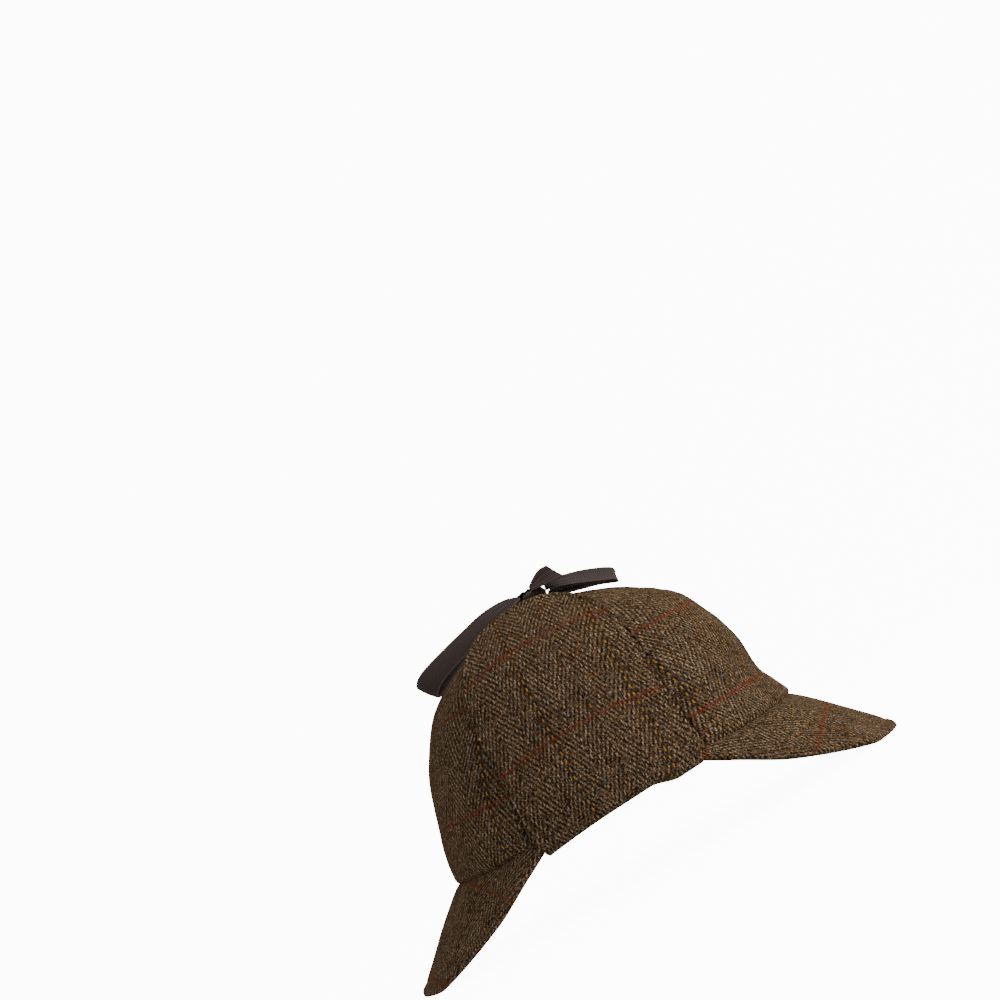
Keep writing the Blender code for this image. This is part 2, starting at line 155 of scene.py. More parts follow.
Lamp = collections.namedtuple("Lamp", "name watts size colour place")
LAMPS = (
    Lamp("window", 54.0, 0.9, (1.0, 0.955, 0.89), (1.50, -0.45, 0.75)),
    Lamp("fill", 3.0, 1.2, (0.93, 0.96, 1.0), (0.2, -1.6, 0.75)),
)
for row in LAMPS:
    light = bpy.data.lights.new(row.name, "AREA")
    light.energy, light.size, light.color = row.watts, row.size, row.colour
    lamp = bpy.data.objects.new(row.name, light)
    lamp.location = row.place
    aim = LAMPS_AIM - lamp.location
    lamp.rotation_euler = aim.to_track_quat("-Z", "Y").to_euler()
    bpy.context.scene.collection.objects.link(lamp)
print("lamps:", [row.name for row in LAMPS])

# %% [markdown]
# ## Shader maths as Python
#
# Weaves are repeating patterns, and repeating patterns are arithmetic. Wiring dozens of Math nodes
# by hand is hard to read, so a small class wraps a socket and lets Python's own operators add the
# Math nodes. Colours go through Mix nodes, because a Math node would turn them grey.

# %% Material tools
BUMP_STRENGTH = 0.9
GROUND_GLOW = 11.0


class Wire:
    """An output socket that Python's operators work on; each operation adds a Math node."""

    def __init__(self, finish, socket):
        self.finish, self.socket = finish, socket

    def math(self, operation, *values):
        return self.finish.node(
            "ShaderNodeMath", {"operation": operation}, dict(enumerate(values))
        )

    def __add__(self, other):
        return self.math("ADD", self, other)

    __radd__ = __add__

    def __sub__(self, other):
        return self.math("SUBTRACT", self, other)

    def __rsub__(self, other):
        return self.math("SUBTRACT", other, self)

    def __mul__(self, other):
        return self.math("MULTIPLY", self, other)

    __rmul__ = __mul__

    def __truediv__(self, other):
        return self.math("DIVIDE", self, other)

    def __abs__(self):
        return self.math("ABSOLUTE", self)

    def __lt__(self, other):
        return self.math("LESS_THAN", self, other)

    def __gt__(self, other):
        return self.math("GREATER_THAN", self, other)

    def whole(self):
        return self.math("FLOOR", self)

    def part(self):
        return self.math("FRACT", self)

    def zigzag(self, width):
        return self.math("PINGPONG", self, width)

    def most(self, other):
        return self.math("MAXIMUM", self, other)

    def rise(self, low, high):
        """0 below low, 1 above high and smooth between; low over high turns it round."""
        settings = {"interpolation_type": "SMOOTHSTEP"}
        return self.finish.node("ShaderNodeMapRange", settings, {0: self, 1: low, 2: high})


class Finish:
    """A material made in code, with one Principled shader whose constants are set by name."""

    def __init__(self, name, **constants):
        self.material = bpy.data.materials.new(name)
        self.material.use_nodes = True
        self.tree = self.material.node_tree
        self.shader = self.tree.nodes["Principled BSDF"]
        for socket, value in constants.items():
            self.shader.inputs[socket.replace("_", " ")].default_value = value

    def node(self, kind, settings, values, output=0):
        """Adds a node: its settings first, then the values or wires of its sockets."""
        node = self.tree.nodes.new(kind)
        for name, value in settings.items():
            setattr(node, name, value)
        for socket, value in values.items():
            if isinstance(value, Wire):
                self.tree.links.new(value.socket, node.inputs[socket])
            else:
                node.inputs[socket].default_value = value
        return Wire(self, node.outputs[output])

    def mix(self, mask, first, second):
        """The first colour where the mask is 0 and the second where it is 1."""
        settings = {"data_type": "RGBA", "clamp_factor": True}
        return self.node("ShaderNodeMix", settings, {0: mask, 6: first, 7: second}, 2)

    def vector(self, x, y, z=0.0):
        return self.node("ShaderNodeCombineXYZ", {}, {0: x, 1: y, 2: z})

    def axes(self, vector):
        """The three numbers of a vector."""
        x = self.node("ShaderNodeSeparateXYZ", {}, {0: vector})
        return [Wire(self, socket) for socket in x.socket.node.outputs]

    def dice(self, vector, output=0):
        """A random number, or with output 1 three of them, that stays the same over a cell."""
        settings = {"noise_dimensions": "3D"}
        return self.node("ShaderNodeTexWhiteNoise", settings, {"Vector": vector}, output)

    def clouds(self, vector, scale, detail=2.0, output=0):
        """Soft noise between 0 and 1 around one half."""
        values = {"Vector": vector, "Scale": scale, "Detail": detail}
        return self.node("ShaderNodeTexNoise", {"noise_dimensions": "3D"}, values, output)

    def weave(self):
        """The weave attribute of a mesh, and its millimetres across and along the cloth."""
        place = self.node("ShaderNodeAttribute", {"attribute_name": "weave"}, {}, 1)
        across, along, _ = self.axes(place)
        return place, across * 1000, along * 1000

    def feed(self, socket, wire):
        self.tree.links.new(wire.socket, self.shader.inputs[socket])

    def bump(self, height, distance):
        values = {"Height": height, "Distance": distance, "Strength": BUMP_STRENGTH}
        self.feed("Normal", self.node("ShaderNodeBump", {}, values))


def paint(red, green, blue):
    """A colour given in screen values, from 0 to 255, as the linear numbers that shaders take."""
    scaled = [channel / 255 for channel in (red, green, blue)]
    linear = [c / 12.92 if c <= 0.04045 else ((c + 0.055) / 1.055) ** 2.4 for c in scaled]
    return (*linear, 1.0)


def hump(share):
    """1 in the middle of a thread and 0 at its two sides, from the share of its width."""
    return 1 - (share * 2 - 1) * (share * 2 - 1)


ground = Finish("pale_ground", Roughness=0.9, Emission_Strength=GROUND_GLOW)
ground.shader.inputs["Emission Color"].default_value = (1.0, 1.0, 1.0, 1.0)
grain = ground.clouds(ground.node("ShaderNodeTexCoord", {}, {}, 3), 3.0)
ground.feed("Base Color", ground.mix(grain, paint(250, 250, 249), paint(253, 253, 252)))
floor_mesh.materials.append(ground.material)
print("ground:", ground.material.name)

# %% [markdown]
# ## The tweed
#
# Herringbone is a twill whose diagonal turns back at every stripe. Each warp thread shows for a
# stretch, dives under, and its neighbour does the same a step later. So the pattern is worked out
# thread by thread: which thread a point is on, how far the diagonal has moved there, and whether
# the thread is on top. A photograph of cloth would smear over seams and show its own light, while
# threads from arithmetic stay sharp and follow each panel's own grain.
#
# Every mesh below carries an attribute called weave: its distance across and along the cloth in
# metres, as the panel was cut. The yellow lines of the check lie where the first is a multiple of
# 46 mm, and the red ones where the second is a multiple of 54 mm. The widths and lengths in the
# next cell are millimetres, and the scales are those of noises over the cloth's metres.

# %% Tweed material
THREAD = 0.6
PICK = 1.18
TWILL = 4 * PICK
CHEVRON = 12.0
DRIFT, DRIFT_SCALE = 1.3, 120.0
WEFT_DYE_LENGTH = 2.4
YELLOW_EVERY, RED_EVERY = 46.0, 54.0
YELLOW_WIDTH, RED_WIDTH = 0.9, 1.4
PATCH_SCALE, WORN_SCALE, GRAIN_SCALE, FUZZ_SCALE = 38.0, 260.0, 1150.0, 2600.0
TWEED_LEVEL = 0.84
TWEED_RELIEF = 0.00042
SHEEN_TINT = paint(214, 178, 130)
LIGHT_YARN, GOLDEN_YARN, BROWN_YARN = paint(142, 120, 98), paint(122, 94, 60), paint(76, 56, 34)
RUST_FLECK, GREY_FLECK = paint(112, 58, 26), paint(90, 84, 90)
DARK_YARN, GREEN_WEFT, RUST_WEFT = paint(17, 11, 7), paint(30, 33, 24), paint(66, 38, 20)
YELLOW_BORDER_DARK, RED_YARN = paint(22, 22, 26), paint(96, 28, 22)
YELLOW_YARN, CROSSING_YARN = paint(148, 102, 18), paint(160, 80, 22)


def tweed(name):
    """Brown herringbone with a windowpane check of yellow along the warp and red across it."""
    cloth = Finish(name, Sheen_Weight=0.03, Sheen_Roughness=0.45, Specular_IOR_Level=0.0)
    cloth.shader.inputs["Sheen Tint"].default_value = SHEEN_TINT
    place, across, along = cloth.weave()
    drift_across, drift_along, _ = cloth.axes(cloth.clouds(place, DRIFT_SCALE, 2.0, 1))
    across = across + (drift_across - 0.5) * DRIFT
    along = along + (drift_along - 0.5) * DRIFT

    thread = (across / THREAD).whole()
    in_thread = (across / THREAD).part()
    pick = (along / PICK).whole()
    in_pick = (along / PICK).part()
    shift = ((thread + 0.5) * THREAD).zigzag(CHEVRON) / (4 * THREAD)
    turn = along / TWILL + shift
    over = turn.part()
    warp_up = over.rise(0.02, 0.10) * over.rise(0.56, 0.46)

    thread_round, pick_round = hump(in_thread), hump(in_pick)
    bulge = 1 - abs(over * 4 - 1)
    height = (warp_up * (0.45 + 0.35 * thread_round + 0.20 * bulge)).most(
        (1 - warp_up) * (0.10 + 0.30 * pick_round)
    )

    float_dice = cloth.dice(cloth.vector(thread, turn.whole(), 1.0))
    hue_dice = cloth.dice(cloth.vector(thread, turn.whole(), 2.0))
    pick_dice = cloth.dice(cloth.vector(pick, (across / WEFT_DYE_LENGTH).whole(), 3.0))
    yarn_dice = cloth.dice(cloth.vector(thread, 7.0, 4.0))

    warp = cloth.mix(hue_dice.rise(0.55, 1.0), LIGHT_YARN, GOLDEN_YARN)
    warp = cloth.mix(hue_dice > 0.988, warp, RUST_FLECK)
    warp = cloth.mix(hue_dice < 0.025, warp, GREY_FLECK)
    warp = cloth.mix(yarn_dice * 0.35, warp, BROWN_YARN)
    weft = cloth.mix(pick_dice > 0.93, DARK_YARN, GREEN_WEFT)
    weft = cloth.mix(pick_dice < 0.03, weft, RUST_WEFT)
    shade = 0.55 + 0.45 * thread_round.most(bulge)
    light_end = (thread / 2).part() < 0.25
    grain = cloth.clouds(place, GRAIN_SCALE, 1.0).rise(0.33, 0.67)
    cell_dice = cloth.dice(cloth.vector(thread, pick, 5.0))
    shown = (0.40 + 0.60 * light_end) * (0.35 + 0.65 * float_dice)
    tone = warp_up * shown * shade * (0.5 + 0.5 * grain) + (0.08 + 0.34 * grain) * cell_dice
    colour = cloth.mix(tone, weft, warp)

    beside_yellow = abs((across / YELLOW_EVERY + 0.5).part() - 0.5) * YELLOW_EVERY
    beside_red = abs((along / RED_EVERY + 0.5).part() - 0.5) * RED_EVERY
    yellow_thread = beside_yellow.rise(YELLOW_WIDTH / 2 + 0.15, YELLOW_WIDTH / 2 - 0.15)
    # A dark band along both sides of each yellow line, mixed over the cloth at 0.45 below.
    yellow_border = beside_yellow.rise(YELLOW_WIDTH / 2 + 1.3, YELLOW_WIDTH / 2 + 1.0)
    red_thread = beside_red.rise(RED_WIDTH / 2 + 0.2, RED_WIDTH / 2 - 0.2)
    dash = (along / TWILL).part()
    yellow_up = yellow_thread * dash.rise(0.04, 0.12) * dash.rise(0.58, 0.48)
    yellow_up = yellow_up * (0.6 + 0.4 * grain)
    slant = (across / (4 * THREAD) + along / TWILL).part()
    red_up = red_thread * slant.rise(0.02, 0.14) * slant.rise(0.88, 0.74)
    colour = cloth.mix(yellow_border * 0.45, colour, YELLOW_BORDER_DARK)
    colour = cloth.mix(red_up * (0.40 + 0.45 * grain), colour, RED_YARN)
    yellow = cloth.mix(red_thread, YELLOW_YARN, CROSSING_YARN)
    colour = cloth.mix(yellow_up * (0.6 + 0.35 * float_dice), colour, yellow)
    height = height.most(yellow_up * 0.85).most(red_up * 0.7)

    patches = cloth.clouds(place, PATCH_SCALE, 3.0)
    worn = cloth.clouds(place, WORN_SCALE, 2.0)
    level = 0.55 + 0.34 * patches + 0.22 * worn + 0.60 * (grain - 0.5)
    level = level * TWEED_LEVEL
    settings = {"data_type": "RGBA", "blend_type": "MULTIPLY"}
    warm = cloth.vector(level, level * 0.99, level * 0.975)
    cloth.feed("Base Color", cloth.node("ShaderNodeMix", settings, {0: 1.0, 6: colour, 7: warm}, 2))
    cloth.feed("Roughness", 0.98 - 0.12 * height)
    cloth.bump(height + 0.35 * cloth.clouds(place, FUZZ_SCALE, 2.0), TWEED_RELIEF)
    return cloth.material


crown_tweed = tweed("crown_tweed")
flap_tweed = tweed("flap_tweed")
peak_tweed = tweed("peak_tweed")
print("tweed nodes:", len(crown_tweed.node_tree.nodes))

# %% [markdown]
# ## The ribbon's cloth
#
# The ties are grosgrain: a narrow ribbon with fine ribs from edge to edge and a flat woven edge.
# Its colour has painted shade in the valleys between the ribs and a painted highlight, a paler line
# of light, along the edge. The weave attribute runs across and along the ribbon, so the ribs are
# one wave along it and the edge is what lies far from its middle.

# %% Ribbon material
RIBBON_WIDTH = 0.018
RIB, STRAND = 1.1, 0.35
HALF_RIBBON = RIBBON_WIDTH * 500
RIBBON_RELIEF = 0.00022
# The second colour below is the ribbon's own; the first, darker one is painted shade for the
# valleys between its ribs.
SHADED_RIB_VALLEY, RIB_CREST = paint(13, 8, 7), paint(40, 25, 22)
# The first colour below is a painted highlight: the paler line of light that the ribbon's flat edge
# catches.
PAINTED_EDGE_HIGHLIGHT, LINT = paint(60, 44, 40), paint(80, 66, 60)


def grosgrain(name):
    """A dark ribbed ribbon, with painted shade in its rib valleys and a painted highlight on its
    edge.
    """
    ribbon = Finish(name, Sheen_Weight=0.02, Sheen_Roughness=0.35, Specular_IOR_Level=0.12)
    place, across, along = ribbon.weave()
    along = along + (ribbon.clouds(place, 300.0) - 0.5) * 0.25
    rib = hump((along / RIB).part())
    edge = abs(across).rise(HALF_RIBBON - 1.3, HALF_RIBBON - 0.5)
    strand = (across / STRAND).part().rise(0.1, 0.9)
    # Painted shade: the valleys between the ribs, and a little of each strand, get the darker
    # colour.
    colour = ribbon.mix(rib * (0.75 + 0.25 * strand), SHADED_RIB_VALLEY, RIB_CREST)
    # Painted highlight along the ribbon's edge, mixed in at 70 percent.
    colour = ribbon.mix(edge * 0.7, colour, PAINTED_EDGE_HIGHLIGHT)
    lint = ribbon.clouds(place, 1500.0, 3.0).rise(0.66, 0.74)
    ribbon.feed("Base Color", ribbon.mix(lint * 0.15, colour, LINT))
    ribbon.feed("Roughness", 0.78 - 0.22 * rib)
    ribbon.bump(rib * (1 - edge * 0.7) + 0.15 * strand, RIBBON_RELIEF)
    return ribbon.material


bow_ribbon = grosgrain("bow_ribbon")
print("ribbon nodes:", len(bow_ribbon.node_tree.nodes))

# %% [markdown]
# ## Cloth as two faces
#
# Each cloth piece is two grids of points, its outer face and its inner face, joined around their
# borders. That gives control over the roundness of every edge, which a Solidify modifier leaves
# square. The normals of a surface come from its own grid, by differences between neighbours.

# %% Cloth tools
def unit(vectors):
    return vectors / np.maximum(np.linalg.norm(vectors, axis=-1, keepdims=True), 1e-12)


def normals_of(points):
    """The unit normals of a grid of points, along its columns crossed with its rows."""
    rows = np.gradient(points, axis=0)
    columns = np.gradient(points, axis=1)
    return unit(np.cross(columns, rows))


def steps_along(points, axis):
    """The distance of each grid point from the first one of its row or column."""
    steps = np.linalg.norm(np.diff(points, axis=axis), axis=-1)
    start = np.zeros_like(np.take(steps, [0], axis=axis))
    return np.concatenate((start, np.cumsum(steps, axis=axis)), axis=axis)


def edge_distance(points, sides=("left", "right", "bottom", "top")):
    """Each grid point's distance over the cloth from the nearest of the named borders."""
    across, along = steps_along(points, 1), steps_along(points, 0)
    found = {
        "left": across,
        "right": across[:, -1:] - across,
        "bottom": along,
        "top": along[-1:, :] - along,
    }
    return np.min([found[side] for side in sides], axis=0)


def ease(t):
    """0 below 0, 1 above 1 and smooth between."""
    t = np.clip(t, 0.0, 1.0)
    return t * t * (3 - 2 * t)


def pillow(distance, radius, least=0.12):
    """The share of its full thickness that cloth has near a rounded edge."""
    t = np.clip(distance / radius, 0.0, 1.0)
    return least + (1 - least) * np.sqrt(1 - (1 - t) ** 2)


def ripple(points, pitch, seed):
    """Gentle unevenness between -1 and 1, from waves in seeded directions."""
    dice = np.random.default_rng(seed)
    total = np.zeros(points.shape[:-1])
    for _ in range(6):
        way = dice.normal(size=3)
        way *= 2 * math.pi / (pitch * dice.uniform(0.7, 1.6) * np.linalg.norm(way))
        total += np.sin(points @ way + dice.uniform(0, 2 * math.pi))
    return total / 3.5


def make_piece(name, points, faces, weave, material, node):
    """A closed mesh that stands for one plain piece and rides on the hat."""
    mesh = bpy.data.meshes.new(name + "_cloth")
    mesh.from_pydata((points + (0.0, 0.0, RIM_HEIGHT)).tolist(), [], faces)
    cloth = mesh.attributes.new("weave", "FLOAT_VECTOR", "POINT")
    cloth.data.foreach_set("vector", weave.astype(np.float32).ravel())
    solid = bmesh.new()
    solid.from_mesh(mesh)
    bmesh.ops.recalc_face_normals(solid, faces=solid.faces)
    solid.to_mesh(mesh)
    solid.free()
    mesh.shade_smooth()
    mesh.materials.append(material)
    piece = bpy.data.objects.new(name + "_cloth", mesh)
    bpy.context.scene.collection.objects.link(piece)
    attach(piece, "root")
    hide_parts(node)
    return piece


def shell(name, outer, inner, weave, material, node):
    """A cloth piece from the grids of its outer and inner face."""
    rows, columns = outer.shape[:2]
    index = np.arange(rows * columns).reshape(rows, columns)
    under = index + rows * columns
    faces = []
    for grid, flip in ((index, False), (under, True)):
        quads = np.stack(
            (grid[:-1, :-1], grid[:-1, 1:], grid[1:, 1:], grid[1:, :-1]), axis=-1
        ).reshape(-1, 4)
        faces += (quads[:, ::-1] if flip else quads).tolist()
    border = np.concatenate((index[0, :-1], index[:-1, -1], index[-1, :0:-1], index[:0:-1, 0]))
    after = np.roll(border, -1)
    shift = rows * columns
    faces += np.stack((border, border + shift, after + shift, after), axis=-1).tolist()
    points = np.concatenate((outer.reshape(-1, 3), inner.reshape(-1, 3)))
    flat = np.concatenate((weave, np.zeros((rows, columns, 1))), axis=-1).reshape(-1, 3)
    return make_piece(name, points, faces, np.concatenate((flat, flat)), material, node)


# %% [markdown]
# ## The crown's shape
#
# The crown is a dome on an oval rim, pinched a little above its hem and fullest below its top,
# where the bow pulls the flaps in. A table gives the dome's radius as a share of an ellipsoid's at
# front, side and rear, and a smooth curve runs through its rows.

# %% Crown shape
DomeRow = collections.namedtuple("DomeRow", "angle front side rear")
DOME = (
    DomeRow(0, 1.000, 1.000, 1.000),
    DomeRow(4, 0.968, 0.992, 0.993),
    DomeRow(9, 0.934, 0.980, 0.982),
    DomeRow(15, 0.944, 0.968, 0.970),
    DomeRow(21, 0.967, 0.970, 0.971),
    DomeRow(28, 0.987, 0.982, 0.981),
    DomeRow(36, 1.011, 1.000, 0.996),
    DomeRow(44, 1.050, 1.030, 1.020),
    DomeRow(51, 1.041, 1.048, 1.050),
    DomeRow(58, 1.010, 1.040, 1.062),
    DomeRow(66, 0.976, 1.010, 1.035),
    DomeRow(76, 0.970, 0.985, 0.995),
    DomeRow(90, 0.970, 0.970, 0.970),
)
PANEL_PUFF = 0.0024


def smooth_curve(keys, rows):
    """A function that reads the smooth curve through a table's rows at an array of keys."""
    keys, rows = np.asarray(keys, float), np.asarray(rows, float)
    slopes = np.gradient(rows, keys, axis=0)

    def read(at):
        at = np.clip(at, keys[0], keys[-1])
        index = np.clip(np.searchsorted(keys, at, side="right") - 1, 0, len(keys) - 2)
        step = (keys[index + 1] - keys[index])[..., None]
        t = (at - keys[index])[..., None] / step
        return (
            (2 * t**3 - 3 * t**2 + 1) * rows[index]
            + (t**3 - 2 * t**2 + t) * slopes[index] * step
            + (3 * t**2 - 2 * t**3) * rows[index + 1]
            + (t**3 - t**2) * slopes[index + 1] * step
        )

    return read


dome_at = smooth_curve([row.angle for row in DOME], [row[1:] for row in DOME])


def crown_share(around, rise):
    """The dome's radius at angles around the oval and rises in degrees above the hem."""
    shares = dome_at(rise)
    forward = np.cos(around)
    ends = np.where(forward > 0, shares[..., 0], shares[..., 2])
    fullness = ends * forward**2 + shares[..., 1] * (1 - forward**2)
    puff = PANEL_PUFF / HALF_LENGTH * np.abs(np.sin(3 * around)) * ease(rise / 20)
    return (fullness + puff) * np.cos(np.radians(rise))


def crown_point(around, rise):
    """Points of the crown's outer face, above the rim."""
    share = crown_share(around, rise)
    height = HEM_HEIGHT + DOME_HEIGHT * np.sin(np.radians(rise))
    return np.stack(
        (HALF_LENGTH * share * np.cos(around), HALF_WIDTH * share * np.sin(around), height), -1
    )


def crown_hit(start, direction):
    """Where rays from inside the crown meet its outer face."""
    near = np.zeros(start.shape[:-1])
    far = np.full(start.shape[:-1], 2 * HALF_LENGTH)
    for _ in range(30):
        middle = (near + far) / 2
        point = start + direction * middle[..., None]
        x, y = point[..., 0] / HALF_LENGTH, point[..., 1] / HALF_WIDTH
        rise = np.degrees(np.arcsin(np.clip((point[..., 2] - HEM_HEIGHT) / DOME_HEIGHT, 0, 1)))
        inside = (point[..., 2] < CROWN_HEIGHT) & (
            np.hypot(x, y) < crown_share(np.arctan2(y, x), rise)
        )
        near, far = np.where(inside, middle, near), np.where(inside, far, middle)
    return start + direction * near[..., None]


def crown_top(x, y):
    """The crown's height over points of the rim plane."""
    x, y = np.broadcast_arrays(np.asarray(x, float), np.asarray(y, float))
    start = np.stack((x, y, np.zeros_like(x)), -1)
    return crown_hit(start, np.broadcast_to((0.0, 0.0, 1.0), start.shape))[..., 2]


print("crown at the front, 40 degrees up:", crown_point(np.array(0.0), np.array(40.0)).round(4))

# %% [markdown]
# ## The crown's six panels
#
# Six gores are sewn side by side, and each seam pulls the cloth down into a groove. The outer face
# of each panel is the dome, turned down towards its neighbours near the seams, with small puckers
# where the thread gathers the cloth, and its lower edge is rolled under at the rim. The warp runs
# up the middle of each gore, so the check meets its neighbour's at an angle, as in the real hat.

# %% Crown panels
PANEL_ANGLE = math.radians(60)
PANEL_CLOTH = 0.0024
SEAM_ROLL, SEAM_DEPTH = 0.0030, 0.0017
PUCKER_DEPTH, PUCKER_REACH = 0.00028, 0.0055
CROWN_WAVES, WAVES_START = 0.0005, 0.012
HEM_ROLL, HEM_TUCK, HEM_STEPS = 0.0026, 0.0006, 10
HEM_CUT = np.linspace(0.0055, 0.0005, HEM_STEPS)
CHECK_LINES = {
    "crown_front_left": (0.0310, 0.0180),
    "crown_side_left": (-0.0060, 0.0240),
    "crown_rear_left": (-0.0290, 0.0300),
    "crown_rear_right": (0.0330, 0.0275),
    "crown_side_right": (0.0090, 0.0210),
    "crown_front_right": (-0.0378, 0.0155),
    "earflap_right": (-0.0140, 0.0437),
    "earflap_left": (0.0120, 0.0380),
    "peak_front": (-0.0530, 0.0175),
    "peak_rear": (0.0560, -0.0075),
}


def packed(count):
    """Shares from 0 to 1 that crowd towards both ends."""
    turn = np.linspace(0, math.pi, count)
    return (1 - np.cos(turn)) / 2


def crown_panel(name, start):
    """One gore, from the rolled hem to the apex."""
    shares = packed(56)
    rises = np.concatenate((np.linspace(0, 84, 74), np.linspace(85, 89.7, 8)))
    rise = np.repeat(rises[:, None], len(shares), 1)
    around = start + PANEL_ANGLE * np.repeat(shares[None, :], len(rises), 0)
    dome = crown_point(around, rise)
    outward = normals_of(dome)
    seam = edge_distance(dome, ("left", "right"))
    along = steps_along(dome, 0)
    roll = SEAM_DEPTH * (1 - pillow(seam, SEAM_ROLL, 0.0))
    pucker = PUCKER_DEPTH * np.sin(along / 0.0019 + 3 * np.sin(along / 0.011 + start))
    pucker = pucker * np.exp(-seam / PUCKER_REACH) * ease(along / WAVES_START)
    soft = CROWN_WAVES * ripple(dome, 0.034, int(start * 10)) * ease(seam / WAVES_START)
    outer = dome + outward * (pucker + soft - roll)[..., None]
    inner = dome - outward * PANEL_CLOTH
    hem_outer, hem_inner = [], []
    foot = dome[0] - (0.0, 0.0, HEM_HEIGHT)
    level = unit(outward[0] * (1.0, 1.0, 0.0))
    for turn in np.radians(np.linspace(90, 9, HEM_STEPS)):
        rolled = foot - level * HEM_ROLL * (1 - math.cos(turn))
        rolled = rolled + (0.0, 0.0, HEM_HEIGHT * (1 - math.sin(turn)))
        hem_outer.append(rolled - level * roll[0][:, None])
        tucked = foot - level * (PANEL_CLOTH + HEM_TUCK * math.sin(turn))
        hem_inner.append(tucked + (0.0, 0.0, HEM_HEIGHT * (1 - 0.8 * math.sin(turn))))
    outer = np.concatenate((hem_outer, outer))
    inner = np.concatenate((hem_inner, inner))
    middle = around - start - PANEL_ANGLE / 2
    radius = np.hypot(dome[..., 0], dome[..., 1])
    cut = np.stack((middle * radius, along), -1)
    hem_cut = np.repeat(cut[:1], HEM_STEPS, 0)
    hem_cut[..., 1] -= HEM_CUT[:, None]
    cut = np.concatenate((hem_cut, cut)) - CHECK_LINES[name]
    piece = shell(name, outer, inner, cut, crown_tweed, name)
    (outer + inner) / 2


PANELS = ("front_left", "side_left", "rear_left", "rear_right", "side_right", "front_right")
for order, panel in enumerate(PANELS):
    crown_panel("crown_" + panel, order * PANEL_ANGLE)

# %% [markdown]
# ## The peaks
#
# A peak is two crescents of tweed sewn together: the upper one wraps around the outer edge as a
# soft roll, and the under one ends inside it. Both start behind the crown's hem, where they turn
# up a little. The edge of each peak lies on the floor where the peak is longest, and so the roll
# is pressed flat there.
#
# The warp runs from front to back. A peak slopes down all around the rim like part of a cone, so
# its weave is laid out as a cone unrolls, which keeps the stripes at one width.

# %% Peaks
PEAK_REACHES = {1: 0.0385, -1: 0.0430}
PEAK_DROP, DROP_FULL = 0.0382, 1.09
REACH_POWER, DROP_POWER, FALL_POWER = 1.1, 1.05, 1.1
PEAK_CLOTH = 0.0017
PEAK_SPREAD = math.acos(0.048 / HALF_LENGTH) + math.radians(2.5)
PEAK_LIP, LIP_STARTS, LIP_BLEND = 0.98, math.radians(13), math.radians(12)
BEHIND_HEM, TURNED_UP = 0.0034, 0.0020
BEHIND_ROWS = (-1.0, -0.5)
UNDER_SHARE = 0.945
CROWDING, PEAK_SPAN = math.pi / 2 * 0.93, 0.994
ROLL_BULGE = 0.18
STITCH_RIDGE, STITCH_FURROW, PEAK_WAVES = 0.0006, 0.0004, 0.00035
LOWEST = 0.00005 - RIM_HEIGHT
FLAT_RADIUS = 0.125


def peak_middle(facing, across, along):
    """The surface midway between a peak's two crescents."""
    around = across * PEAK_SPREAD
    rim = np.stack((HALF_LENGTH * np.cos(around), HALF_WIDTH * np.sin(around), 0 * around), -1)
    outward = unit(
        np.stack((HALF_WIDTH * np.cos(around), HALF_LENGTH * np.sin(around), 0 * around), -1)
    )
    rounding = 1 - across**2
    reach = PEAK_REACHES[facing] * rounding**REACH_POWER
    drop = np.minimum(PEAK_DROP, PEAK_DROP * DROP_FULL * rounding**DROP_POWER)
    lip = PEAK_LIP + (1 - PEAK_LIP) * ease((np.abs(around) - LIP_STARTS) / LIP_BLEND)
    before, behind = np.maximum(along, 0.0), np.minimum(along, 0.0)
    point = rim + outward * (reach * before + behind * BEHIND_HEM)[..., None]
    fall = drop * np.minimum(1.0, before / lip) ** FALL_POWER
    seam = (PIECE_GAP * 1.5 + PEAK_CLOTH) * (1 - 0.9 * ease((np.abs(across) - 0.68) / 0.2))
    point = point - np.stack((0 * fall, 0 * fall, seam + fall + TURNED_UP * behind), -1)
    return point * (facing, facing, 1.0)


def laid_flat(facing, face):
    """A peak's crescent laid flat, where the rim's curve opens out as an unrolled cone's does."""
    first = len(BEHIND_ROWS)
    run = steps_along(face, 0)
    radius = FLAT_RADIUS + (run - run[first])
    rim = steps_along(face[first : first + 1], 1)
    rim = (rim - rim[:, -1:] / 2) * np.sign(face[first, -1, 1] - face[first, 0, 1]) * facing
    turn = rim / FLAT_RADIUS
    return np.stack((radius * np.sin(turn), radius * np.cos(turn) - FLAT_RADIUS), -1)


def peak_grid(facing, reach, count):
    """A peak's middle surface as a grid with count rows, and its upward normals."""
    shares = np.sin(np.linspace(-1, 1, 110) * CROWDING) / math.sin(CROWDING)
    shares = shares * PEAK_SPAN * facing
    rows = np.concatenate((BEHIND_ROWS, np.linspace(0, reach, count)))
    across = np.repeat(shares[None, :], len(rows), 0)
    along = np.repeat(rows[:, None], len(shares), 1)
    middle = peak_middle(facing, across * facing, along)
    up = normals_of(middle)
    return across, along, middle, up * np.sign(up[..., 2:].mean())


def peak_piece(name, part, facing, faces):
    """One crescent from its two faces, pressed flat where it meets the floor."""
    outer, inner = faces
    outer[..., 2] = np.maximum(outer[..., 2], LOWEST)
    inner[..., 2] = np.maximum(inner[..., 2], LOWEST + 0.0003)
    cut = laid_flat(facing, outer) - CHECK_LINES[name]
    full_name = f"{name}_{part}"
    piece = shell(full_name, outer, inner, cut, peak_tweed, full_name)
    (outer + inner) / 2


